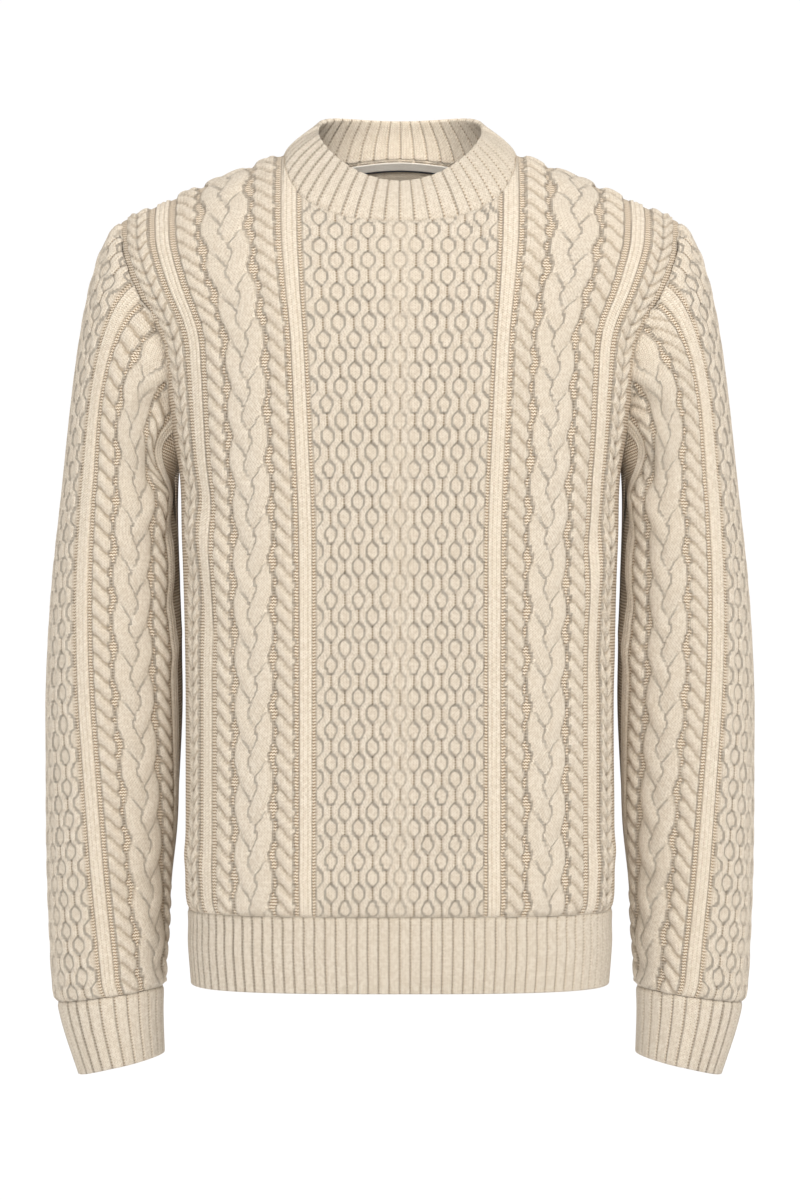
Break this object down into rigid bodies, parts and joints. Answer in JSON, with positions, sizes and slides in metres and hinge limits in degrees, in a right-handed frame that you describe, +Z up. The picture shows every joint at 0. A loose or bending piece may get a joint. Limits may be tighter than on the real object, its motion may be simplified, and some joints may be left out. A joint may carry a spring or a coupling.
{
  "type": "cable knit sweater",
  "caption": "Cable knit crew-neck sweater in its hollow worn form, with a honeycomb centre, rope and plait cables and ribbed neck, cuffs and hem.",
  "frame": {"origin": "midway between the two high shoulder points, where the collar meets the shoulder seams and the garment hangs from its wearer; front towards -Y, wearer's left towards +X", "axes": "+Z up along the body's length, +Y from front to back, +X across to the wearer's left"},
  "size_m": [0.5838, 0.2208, 0.7895],
  "materials": {
    "knit": "matt wool knit",
    "tape": "woven cotton",
    "dark_tape": "woven cotton"
  },
  "bodies": {
    "root": {"front_panel": "knit", "back_panel": "knit", "sleeve_left": "knit", "sleeve_right": "knit", "hem_rib_front": "knit", "hem_rib_back": "knit", "cuff_left": "knit", "cuff_right": "knit", "neck_rib": "knit", "neck_tape": "tape", "neck_tape_edge": "dark_tape", "neck_label": "dark_tape"}
  },
  "joints": []
}
